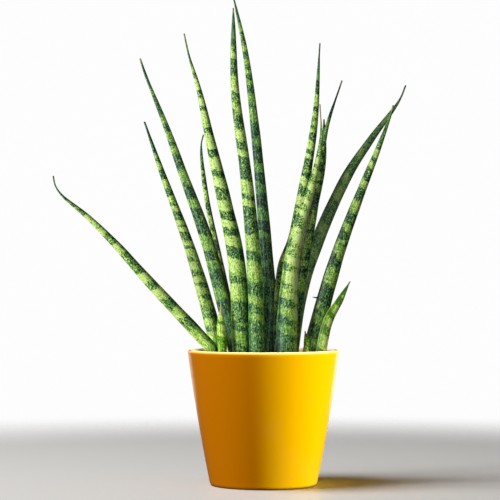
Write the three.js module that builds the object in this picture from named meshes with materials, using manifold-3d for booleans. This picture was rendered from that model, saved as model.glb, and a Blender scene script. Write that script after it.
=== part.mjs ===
// A cylindrical snake plant in a round ceramic pot.
//
// Millimetres, +Z up. The origin is the centre of the pot's flat underside, and -Y is the front.
// The pieces are the pot, the potting soil that fills it, and each leaf. Every leaf is a solid,
// nearly round blade with a channel along the side that faces the middle of its rosette. It stands
// in a plain hole in the soil.

import * as THREE from 'three';
import { mergeVertices } from 'three/addons/utils/BufferGeometryUtils.js';
import Module from 'manifold-3d';

const wasm = await Module();
wasm.setup();

// ---- Driving dimensions ----------------------------------------------------------------------

const GAP = 0.3; // between pieces that touch on the real plant

const POT_HEIGHT = 120;
const POT_RIM_RADIUS = 67.5; // outside, at the top
const POT_BASE_RADIUS = 47.3; // the outside wall's line, carried down to the ground
const POT_BULGE = 0.21; // how far the wall swells past a straight cone, as a share of its flare
const POT_WALL = 4.6;
const POT_FLOOR = 6;
const POT_EDGE_ROUND = 3.5; // the rounded lower edge
const POT_CORNER_ROUND = 8; // the rounded corner between floor and wall, inside
const POT_SIDES = 48;
const EDGE_STEPS = 3;
const OUTER_WALL_STEPS = 6;
const LIP_STEPS = 6;
const INNER_WALL_STEPS = 4;
const CORNER_STEPS = 3;

const SOIL_LEVEL = 109; // mean height of the soil's surface
const SOIL_MOUND = 2.5; // how much higher the soil lies at the middle than at the wall
const SOIL_LUMP = 1.1; // height of the lumps in its surface
const SOIL_WAVES = [5.1, 4.3, 3.1]; // spacing of the lumps' waves along X, along Y and across both
const SOIL_CROSS_WAVE = 0.6; // strength of the wave across both, against the other two
const SOIL_RINGS = 11; // across its surface

const LEAF_SIDES = 14;
const LEAF_STEPS = 20;
const LEAF_STEP_CROWDING = 1.2; // over 1 brings the steps closer together towards the tip
const LEAF_THINNEST = 0.4; // radius of a dried tip, just short of its end
const CHANNEL_DEPTH = 0.42; // at the foot, as a share of the leaf's radius
const CHANNEL_HALF_ANGLE = 0.5; // radians round the section
const YOUNG_LEAF_STEPS = 12;

// ---- Leaves ----------------------------------------------------------------------------------

// radius: at the foot. The radius at a share s of the length is
//     radius * (1 - s ** fullness) ** sharpness
// so a large fullness keeps the leaf thick for longer, and a sharpness under 1 gives a blunt tip.
// faces: the compass direction of the channel in degrees, 0 along +X and 90 along +Y.
// spine: points along the middle of the leaf, from its root in the soil to its tip.
const LEAVES = [
  { name: 'leaf_01', radius: 5.5, fullness: 2.5, sharpness: 1.1, faces: 35, spine: [
    [-38.5, -9, 88], [-45.5, -10, 120], [-55, -12, 131.5], [-82, -16, 160.5],
    [-105.5, -20, 186], [-128.5, -24, 212], [-153.5, -29, 237], [-176, -32, 256],
    [-181.5, -33, 264], [-183.5, -34, 273]] },
  { name: 'leaf_02', radius: 7.2, fullness: 1.7, sharpness: 1.05, faces: 45, spine: [
    [-35, 11, 88], [-40.5, 14, 119], [-63, 26, 200], [-93, 38, 282], [-108.5, 44, 326]] },
  { name: 'leaf_03', radius: 7.3, fullness: 2.5, sharpness: 1.5, faces: -15, spine: [
    [-20, 5, 88], [-24.5, 6, 120], [-31, 7, 146], [-50.5, 10, 218], [-73, 14, 280],
    [-87, 16, 319], [-105.5, 19, 365], [-111, 20, 381]] },
  { name: 'leaf_04', radius: 2.7, fullness: 6, sharpness: 0.95, faces: -20, spine: [
    [-17, 20, 88], [-21.5, 24, 119], [-39.5, 37, 200], [-51.5, 46, 255], [-57, 54, 305],
    [-55, 56, 315]] },
  { name: 'leaf_05', radius: 8.2, fullness: 2.6, sharpness: 1.4, faces: 45, spine: [
    [-19.5, -11, 88], [-19.5, -13, 120], [-24, -21, 200], [-34.5, -28, 252], [-46.5, -34, 304],
    [-56.5, -39, 349], [-64.5, -42, 376], [-69, -44, 396]] },
  { name: 'leaf_06', radius: 7.4, fullness: 1.4, sharpness: 0.6, faces: 45, spine: [
    [-5, -19, 88], [-5.5, -21, 120], [-7.5, -23, 182], [-10.5, -24.5, 225], [-16, -26, 279],
    [-25, -28, 349], [-26.5, -30, 420]] },
  { name: 'leaf_07', radius: 7.3, fullness: 1.5, sharpness: 0.77, faces: -10, spine: [
    [3, 5, 88], [3.5, 6, 119], [6, 8, 164], [3.5, 10, 200], [-7.5, 17, 319], [-16.5, 21, 388],
    [-28, 24, 441]] },
  { name: 'leaf_08', radius: 7.9, fullness: 1.5, sharpness: 0.9, faces: 45, spine: [
    [17, -2, 88], [16, -3, 120], [18.5, -5, 191], [27, -5, 217], [35.5, -5, 262],
    [45.5, -6, 324], [50, -6, 392]] },
  { name: 'leaf_09', radius: 11, fullness: 1.3, sharpness: 1.1, faces: 40, spine: [
    [20.5, -22, 88], [20, -24, 121], [25, -28, 199], [32.5, -31, 232], [41.5, -34, 262],
    [50, -37, 304], [49, -40, 335]] },
  { name: 'leaf_10', radius: 4.7, fullness: 1.4, sharpness: 0.5, faces: 200, spine: [
    [11.5, 17, 88], [15.5, 19, 119], [24, 24, 164], [34.5, 28, 209], [47.5, 33, 254],
    [54.5, 36, 291], [55, 40, 328]] },
  { name: 'leaf_11', radius: 6.7, fullness: 2.1, sharpness: 1.15, faces: 200, spine: [
    [25, 11, 88], [25, 11, 119], [29.5, 11, 164], [49, 13, 271], [56, 15, 316], [70.5, 16, 361]] },
  { name: 'leaf_12', radius: 7.2, fullness: 3.1, sharpness: 1.2, faces: 190, spine: [
    [23, 25, 88], [25, 27, 119], [36, 35, 182], [74, 49, 273], [98, 56, 310], [125, 62, 347],
    [131, 64, 361]] },
  { name: 'leaf_13', radius: 8.5, fullness: 1.9, sharpness: 1.15, faces: 185, spine: [
    [37.5, -6, 88], [42, -8, 120], [63.5, -16, 200], [86, -22, 261], [100, -26, 296],
    [112, -29, 329], [113.5, -30, 335]] },
];

const YOUNG_LEAVES = [
  { name: 'young_leaf_left', radius: 4, fullness: 11, sharpness: 2.6, faces: 60, spine: [
    [-34.3, -22, 88], [-35.8, -24, 118], [-37.2, -26, 140], [-37.3, -27, 161]] },
  { name: 'young_leaf_right', radius: 4.8, fullness: 5.3, sharpness: 1.15, faces: 160, spine: [
    [49.5, -18.5, 88], [50.5, -19.5, 118], [57, -21.5, 147], [67, -23, 164.5], [76, -25, 181]] },
  { name: 'scale_leaf', radius: 3.6, fullness: 5, sharpness: 1, faces: 45, spine: [
    [39.5, -19, 88], [38.5, -20, 118], [37.5, -19.5, 130], [36.5, -19, 137]] },
];

// ---- Materials -------------------------------------------------------------------------------

const YELLOW_GLAZE = { color: '#f0a80a', roughness: 0.3, metalness: 0 };
const POTTING_SOIL = { color: '#2e2219', roughness: 1, metalness: 0 };
const LEAF_GREEN = { color: '#5f9244', roughness: 0.5, metalness: 0 };
const YOUNG_GREEN = { color: '#7aa82c', roughness: 0.45, metalness: 0 };

function makeMesh(name, geometry, finish) {
  geometry.computeVertexNormals();
  const mesh = new THREE.Mesh(geometry, new THREE.MeshStandardMaterial(finish));
  mesh.name = name;
  return mesh;
}

// ---- Solids ----------------------------------------------------------------------------------

function toManifold(geometry) {
  const bare = geometry.clone();
  bare.deleteAttribute('normal');
  bare.deleteAttribute('uv');
  const merged = mergeVertices(bare);
  return new wasm.Manifold(new wasm.Mesh({
    numProp: 3,
    vertProperties: new Float32Array(merged.attributes.position.array),
    triVerts: new Uint32Array(merged.index.array),
  }));
}

function fromManifold(solid) {
  const mesh = solid.getMesh();
  const geometry = new THREE.BufferGeometry();
  geometry.setAttribute('position', new THREE.BufferAttribute(mesh.vertProperties, 3));
  geometry.setIndex(new THREE.BufferAttribute(mesh.triVerts, 1));
  return geometry;
}

// A closed skin over rings of points that are stacked from bottom to top, each ring running
// counterclockwise as seen from above. A point below and a point above close its two ends.
function skinOverRings(rings, bottomPoint, topPoint) {
  const sides = rings[0].length;
  const points = [...rings.flat(), bottomPoint, topPoint];
  const bottom = points.length - 2;
  const top = points.length - 1;
  const lastRing = (rings.length - 1) * sides;
  const faces = [];
  for (let side = 0; side < sides; side += 1) {
    const next = (side + 1) % sides;
    faces.push(bottom, next, side);
    faces.push(top, lastRing + side, lastRing + next);
    for (let ring = 0; ring < rings.length - 1; ring += 1) {
      const low = ring * sides;
      const high = low + sides;
      faces.push(low + side, low + next, high + next);
      faces.push(low + side, high + next, high + side);
    }
  }
  const geometry = new THREE.BufferGeometry().setFromPoints(points);
  geometry.setIndex(faces);
  return geometry;
}

// ---- Pot -------------------------------------------------------------------------------------

// The outside wall flares and swells gently, as a parabola over its height.
function potOuterRadius(z) {
  const t = z / POT_HEIGHT;
  const flare = POT_RIM_RADIUS - POT_BASE_RADIUS;
  return POT_BASE_RADIUS + flare * ((1 + POT_BULGE) * t - POT_BULGE * t * t);
}

function potInnerRadius(z) {
  return potOuterRadius(z) - POT_WALL;
}

// Points on an arc, in the profile's plane of radius and height. Angles are in quarter turns.
function arcPoints(centreRadius, centreHeight, round, fromQuarter, toQuarter, steps) {
  const points = [];
  for (let step = 0; step <= steps; step += 1) {
    const angle = THREE.MathUtils.lerp(fromQuarter, toQuarter, step / steps) * Math.PI / 2;
    points.push(new THREE.Vector2(
      centreRadius + round * Math.cos(angle),
      centreHeight + round * Math.sin(angle),
    ));
  }
  return points;
}

function wallPoints(radiusAt, fromHeight, toHeight, steps) {
  const points = [];
  for (let step = 1; step < steps; step += 1) {
    const z = THREE.MathUtils.lerp(fromHeight, toHeight, step / steps);
    points.push(new THREE.Vector2(radiusAt(z), z));
  }
  return points;
}

// The closed profile of the pot: underside, lower edge, outside wall, round lip, inside wall and
// floor. The wall's steps hold its parabola.
function makePot() {
  const lipRound = POT_WALL / 2;
  const lipHeight = POT_HEIGHT - lipRound;
  const edgeRadius = potOuterRadius(POT_EDGE_ROUND) - POT_EDGE_ROUND;
  const cornerHeight = POT_FLOOR + POT_CORNER_ROUND;
  const cornerRadius = potInnerRadius(cornerHeight) - POT_CORNER_ROUND;
  const profile = [
    new THREE.Vector2(0, 0),
    ...arcPoints(edgeRadius, POT_EDGE_ROUND, POT_EDGE_ROUND, -1, 0, EDGE_STEPS),
    ...wallPoints(potOuterRadius, POT_EDGE_ROUND, lipHeight, OUTER_WALL_STEPS),
    ...arcPoints(potOuterRadius(lipHeight) - lipRound, lipHeight, lipRound, 0, 2, LIP_STEPS),
    ...wallPoints(potInnerRadius, lipHeight, cornerHeight, INNER_WALL_STEPS),
    ...arcPoints(cornerRadius, cornerHeight, POT_CORNER_ROUND, 0, -1, CORNER_STEPS),
    new THREE.Vector2(0, POT_FLOOR),
  ];
  const geometry = new THREE.LatheGeometry(profile, POT_SIDES);
  geometry.rotateX(Math.PI / 2);
  return makeMesh('pot', geometry, YELLOW_GLAZE);
}

// ---- Leaves ----------------------------------------------------------------------------------

// The section at a share s of the length is a circle with a channel pressed into one side, as a
// bell curve over the angle round the section. The channel fades out towards the tip.
function leafSectionRadius(leaf, s, angle) {
  const full = Math.max(leaf.radius * (1 - s ** leaf.fullness) ** leaf.sharpness, LEAF_THINNEST);
  const turn = THREE.MathUtils.euclideanModulo(angle + Math.PI, 2 * Math.PI) - Math.PI;
  const channel = CHANNEL_DEPTH * (1 - s) * Math.exp(-((turn / CHANNEL_HALF_ANGLE) ** 2));
  return full * (1 - channel);
}

// Rings of points along the leaf, closer together towards its tip. The angle 0 of each ring looks
// into the channel. With a swell over 0 the leaf is that much thicker, and its root that much
// longer, which is the shape of the hole that it stands in.
function makeLeafGeometry(leaf, steps, swell = 0) {
  const spine = new THREE.CatmullRomCurve3(leaf.spine.map((point) => new THREE.Vector3(...point)));
  const facing = THREE.MathUtils.degToRad(leaf.faces);
  const towardsChannel = new THREE.Vector3(Math.cos(facing), Math.sin(facing), 0);
  const rings = [];
  for (let step = 0; step < steps; step += 1) {
    const s = 1 - (1 - step / steps) ** LEAF_STEP_CROWDING;
    const middle = spine.getPointAt(s);
    const along = spine.getTangentAt(s);
    const ahead = towardsChannel.clone().addScaledVector(along, -towardsChannel.dot(along)).normalize();
    const aside = new THREE.Vector3().crossVectors(along, ahead);
    if (step === 0) {
      middle.addScaledVector(along, -swell);
    }
    rings.push(Array.from({ length: LEAF_SIDES }, (_, side) => {
      const angle = 2 * Math.PI * side / LEAF_SIDES;
      const reach = leafSectionRadius(leaf, s, angle) + swell;
      return middle.clone()
        .addScaledVector(ahead, reach * Math.cos(angle))
        .addScaledVector(aside, reach * Math.sin(angle));
    }));
  }
  const footMiddle = spine.getPointAt(0).addScaledVector(spine.getTangentAt(0), -swell);
  return skinOverRings(rings, footMiddle, spine.getPointAt(1));
}

// ---- Soil ------------------------------------------------------------------------------------

// The surface is a low mound with lumps, which are waves along X and Y crossed with each other,
// and a weaker diagonal one.
function soilHeight(x, y) {
  const wallRadius = potInnerRadius(SOIL_LEVEL);
  const mound = SOIL_MOUND * (0.5 - (x * x + y * y) / (wallRadius * wallRadius));
  const [spacingX, spacingY, spacingAcross] = SOIL_WAVES;
  const crossed = Math.sin(x / spacingX) * Math.cos(y / spacingY);
  const across = SOIL_CROSS_WAVE * Math.sin((x + y) / spacingAcross);
  return SOIL_LEVEL + mound + SOIL_LUMP * (crossed + across);
}

function circleOfPoints(radius, heightAt) {
  return Array.from({ length: POT_SIDES }, (_, side) => {
    const angle = 2 * Math.PI * side / POT_SIDES;
    const x = radius * Math.cos(angle);
    const y = radius * Math.sin(angle);
    return new THREE.Vector3(x, y, heightAt(x, y));
  });
}

// Fills the pot from its floor to the surface, a gap clear of its floor, corner and wall all round.
function makeSoil(holes) {
  const radiusAt = (z) => potInnerRadius(z) - GAP;
  const bottom = POT_FLOOR + GAP;
  const cornerHeight = POT_FLOOR + POT_CORNER_ROUND;
  const cornerRadius = potInnerRadius(cornerHeight) - POT_CORNER_ROUND;
  const wallTop = SOIL_LEVEL - SOIL_MOUND;
  const profile = [
    ...arcPoints(cornerRadius, cornerHeight, POT_CORNER_ROUND - GAP, -1, 0, CORNER_STEPS),
    ...wallPoints(radiusAt, cornerHeight, wallTop, INNER_WALL_STEPS),
  ];
  const rings = profile.map((point) => circleOfPoints(point.x, () => point.y));
  for (let ring = 0; ring < SOIL_RINGS; ring += 1) {
    rings.push(circleOfPoints(radiusAt(wallTop) * (1 - ring / SOIL_RINGS), soilHeight));
  }
  const bottomPoint = new THREE.Vector3(0, 0, bottom);
  const topPoint = new THREE.Vector3(0, 0, soilHeight(0, 0));
  let soil = toManifold(skinOverRings(rings, bottomPoint, topPoint));
  for (const hole of holes) {
    soil = soil.subtract(toManifold(hole));
  }
  return makeMesh('soil', fromManifold(soil), POTTING_SOIL);
}

// ---- Assembly --------------------------------------------------------------------------------

const group = new THREE.Group();
group.name = 'snake_plant';
group.add(makePot());

const holes = [];
for (const leaf of LEAVES) {
  group.add(makeMesh(leaf.name, makeLeafGeometry(leaf, LEAF_STEPS), LEAF_GREEN));
  holes.push(makeLeafGeometry(leaf, LEAF_STEPS, GAP));
}
for (const leaf of YOUNG_LEAVES) {
  group.add(makeMesh(leaf.name, makeLeafGeometry(leaf, YOUNG_LEAF_STEPS), YOUNG_GREEN));
  holes.push(makeLeafGeometry(leaf, YOUNG_LEAF_STEPS, GAP));
}
group.add(makeSoil(holes));

export default group;
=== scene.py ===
"""A cylindrical snake plant in a yellow glazed pot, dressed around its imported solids.

The frame is the part's own: metres, +Z up, -Y towards the front, and the origin at the centre of
the pot's flat underside. Sizes that a grower or a potter would measure are written in millimetres
and turned to metres by ``MM``.
"""
import logging
import math
from collections.abc import Callable
from dataclasses import dataclass
from enum import Enum
from functools import partial

import bpy
import numpy as np
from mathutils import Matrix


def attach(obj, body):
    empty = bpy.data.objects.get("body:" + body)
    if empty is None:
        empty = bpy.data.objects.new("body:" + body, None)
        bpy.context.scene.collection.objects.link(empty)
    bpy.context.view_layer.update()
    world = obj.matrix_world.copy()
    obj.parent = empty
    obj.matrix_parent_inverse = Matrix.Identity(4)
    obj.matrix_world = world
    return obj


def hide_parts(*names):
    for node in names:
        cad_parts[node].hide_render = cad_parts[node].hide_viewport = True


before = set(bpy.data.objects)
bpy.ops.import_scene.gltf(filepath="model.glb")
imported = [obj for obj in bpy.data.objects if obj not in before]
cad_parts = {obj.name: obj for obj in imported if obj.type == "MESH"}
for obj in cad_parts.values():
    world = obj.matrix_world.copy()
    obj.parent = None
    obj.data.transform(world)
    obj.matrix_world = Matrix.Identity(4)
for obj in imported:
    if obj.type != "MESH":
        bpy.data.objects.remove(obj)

LOG = logging.getLogger("snake_plant")
MM = 0.001
BODY = "root"
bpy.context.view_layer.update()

Array = np.ndarray
Triple = tuple[float, float, float]
Rgba = tuple[float, float, float, float]
Node = bpy.types.Node
Socket = bpy.types.NodeSocket
NodeMaker = Callable[..., Node]


# ---- Shared helpers --------------------------------------------------------------------------


def linear(hex_colour: str) -> Rgba:
    """Turns an sRGB hex colour to linear light.

    A channel c becomes c / 12.92 up to 0.04045, and ((c + 0.055) / 1.055)^2.4 above that.

    Args:
        hex_colour: six hex digits with a leading hash.

    Returns:
        Red, green, blue and an alpha of 1.
    """
    channels = [int(hex_colour[i:i + 2], 16) / 255 for i in (1, 3, 5)]
    red, green, blue = (c / 12.92 if c <= 0.04045 else ((c + 0.055) / 1.055) ** 2.4 for c in channels)
    return red, green, blue, 1.0


def smooth_step(low: float, high: float, value: Array) -> Array:
    """Rises from 0 at low to 1 at high, along 3t^2 - 2t^3."""
    t = np.clip((value - low) / (high - low), 0, 1)
    return t * t * (3 - 2 * t)


def bell(value: Array, half_width: float) -> Array:
    """A bell curve, exp(-(value / half_width)^2)."""
    return np.exp(-(value / half_width) ** 2)


def around(count: int) -> Array:
    """Gives evenly spaced angles once round, starting from 0."""
    return np.arange(count) * 2 * math.pi / count


def wrapped(angle: Array) -> Array:
    """Brings angles into the range from -pi to pi."""
    return (angle + math.pi) % (2 * math.pi) - math.pi


def add_node(tree: bpy.types.NodeTree, kind: str, inputs: dict | None = None, **settings: object) -> Node:
    """Adds one shader node with its settings, input values and links.

    Args:
        tree: the node tree that gets it.
        kind: the node's type, such as Math, without the ShaderNode before it.
        inputs: for each input, by its name or number, a value, another node's output, or a node,
            which stands for its first output.
        **settings: the node's own properties.

    Returns:
        The new node.
    """
    node = tree.nodes.new(f"ShaderNode{kind}")
    for name, value in settings.items():
        setattr(node, name, value)
    for key, value in (inputs or {}).items():
        source = value.outputs[0] if isinstance(value, Node) else value
        if isinstance(source, Socket):
            tree.links.new(source, node.inputs[key])
        else:
            node.inputs[key].default_value = source
    return node


def new_material(name: str) -> tuple[bpy.types.Material, NodeMaker]:
    """Starts a material with an empty node tree.

    Args:
        name: the material's name.

    Returns:
        The material, and add_node for its tree.
    """
    material = bpy.data.materials.new(name)
    material.use_nodes = True
    material.node_tree.nodes.clear()
    return material, partial(add_node, material.node_tree)


def cover(node: NodeMaker, inputs: dict) -> None:
    """Puts a Principled shader with these inputs on a material's surface."""
    node("OutputMaterial", {"Surface": node("BsdfPrincipled", inputs)})


def mesh_object(name: str, points: Array, faces: tuple[Array, ...],
                smooth: bool = True) -> bpy.types.Object:
    """Puts points and faces into a new mesh object at the origin.

    Args:
        name: the object's name.
        points: vertex positions in millimetres.
        faces: arrays of vertex numbers, each with one row per face.
        smooth: True for smooth shading.

    Returns:
        The object, linked to the scene.
    """
    mesh = bpy.data.meshes.new(name)
    mesh.from_pydata(points.reshape(-1, 3) * MM, [], [row for block in faces for row in block.tolist()])
    mesh.polygons.foreach_set("use_smooth", np.full(len(mesh.polygons), smooth))
    mesh.update()
    piece = bpy.data.objects.new(name, mesh)
    bpy.context.scene.collection.objects.link(piece)
    return piece


def ring_faces(count: int, sides: int) -> tuple[Array, Array]:
    """Numbers the faces over stacked rings that are closed at a point below and a point above.

    Ring r and side c is vertex r * sides + c, and the lower and upper point come after the rings.
    Each quad joins a side and its neighbour on one ring to the same two on the next, and each end
    is a fan of triangles.

    Args:
        count: how many rings.
        sides: points to a ring.

    Returns:
        The quads and the triangles.
    """
    ring = np.arange(count - 1)[:, None] * sides
    side = np.arange(sides)
    following = (side + 1) % sides
    quads = np.stack([ring + side, ring + following, ring + sides + following, ring + sides + side], -1)
    last = (count - 1) * sides
    foot_fan = np.stack([np.full(sides, count * sides), following, side], -1)
    tip_fan = np.stack([np.full(sides, count * sides + 1), last + side, last + following], -1)
    return quads.reshape(-1, 4), np.vstack([foot_fan, tip_fan])


def closed_rings(name: str, rings: Array, bottom: Array, top: Array) -> bpy.types.Object:
    """Skins rings of points that are stacked from bottom to top, and closes both ends at a point.

    Args:
        name: the object's name.
        rings: positions in millimetres as rings, sides, xyz, counterclockwise seen from the top.
        bottom: the point that closes the first ring.
        top: the point that closes the last ring.

    Returns:
        The object.
    """
    points = np.vstack([rings.reshape(-1, 3), bottom, top])
    return mesh_object(name, points, ring_faces(*rings.shape[:2]))


def add_attribute(piece: bpy.types.Object, name: str, values: Array) -> None:
    """Stores one number, or one vector, at each vertex.

    Args:
        piece: the mesh object.
        name: the attribute's name.
        values: one row per vertex.
    """
    kind, key = ("FLOAT", "value") if values.ndim == 1 else ("FLOAT_VECTOR", "vector")
    attribute = piece.data.attributes.new(name, kind, "POINT")
    attribute.data.foreach_set(key, values.astype(np.float32).ravel())


class Lit(Enum):
    """What a studio light falls on. FOLIAGE is the leaves and the soil."""

    FOLIAGE = "lit_foliage"
    POT = "lit_pot"
    FLOOR = "lit_floor"

    def group(self) -> bpy.types.Collection:
        """Gives the collection of the objects that are lit together."""
        return bpy.data.collections.get(self.value) or bpy.data.collections.new(self.value)


def finish_piece(piece: bpy.types.Object, material: bpy.types.Material, node: str | None,
                 lit: Lit) -> None:
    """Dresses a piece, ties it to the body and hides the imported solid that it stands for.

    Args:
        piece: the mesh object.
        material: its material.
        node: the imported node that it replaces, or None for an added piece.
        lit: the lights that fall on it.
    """
    piece.data.materials.append(material)
    lit.group().objects.link(piece)
    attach(piece, BODY)
    if node:
        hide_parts(node)
    LOG.info("%s: %d vertices, %s", piece.name, len(piece.data.vertices), material.name)


# ---- Leaves ----------------------------------------------------------------------------------


class Age(Enum):
    """How old a leaf is, which sets its skin."""

    MATURE = "mature_leaf"
    YOUNG = "young_leaf"


@dataclass(frozen=True)
class LeafForm:
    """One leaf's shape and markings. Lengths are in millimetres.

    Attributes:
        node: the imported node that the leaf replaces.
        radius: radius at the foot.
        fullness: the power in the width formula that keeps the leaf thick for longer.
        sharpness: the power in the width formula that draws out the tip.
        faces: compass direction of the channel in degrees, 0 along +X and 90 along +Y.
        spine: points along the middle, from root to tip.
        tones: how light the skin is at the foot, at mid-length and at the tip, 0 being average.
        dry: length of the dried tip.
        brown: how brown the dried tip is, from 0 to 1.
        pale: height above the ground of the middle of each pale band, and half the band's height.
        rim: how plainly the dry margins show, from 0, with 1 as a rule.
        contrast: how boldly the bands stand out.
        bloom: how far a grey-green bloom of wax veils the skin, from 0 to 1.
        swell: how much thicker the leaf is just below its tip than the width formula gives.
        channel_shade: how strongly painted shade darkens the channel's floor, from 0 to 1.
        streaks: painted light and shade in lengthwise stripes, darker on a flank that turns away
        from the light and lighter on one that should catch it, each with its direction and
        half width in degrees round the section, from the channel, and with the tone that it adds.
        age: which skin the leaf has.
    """

    node: str
    radius: float
    fullness: float
    sharpness: float
    faces: float
    spine: tuple[Triple, ...]
    tones: Triple = (0.0, 0.0, -0.6)
    dry: float = 5.0
    brown: float = 0.0
    pale: tuple[tuple[int, int], ...] = ()
    rim: float = 1.0
    contrast: float = 1.0
    bloom: float = 0.0
    swell: float = 0.25
    channel_shade: float = 1.0
    streaks: tuple[tuple[int, int, float], ...] = ()
    age: Age = Age.MATURE


# Each leaf's streaks entry is painted light and shade on its flanks.
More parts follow.
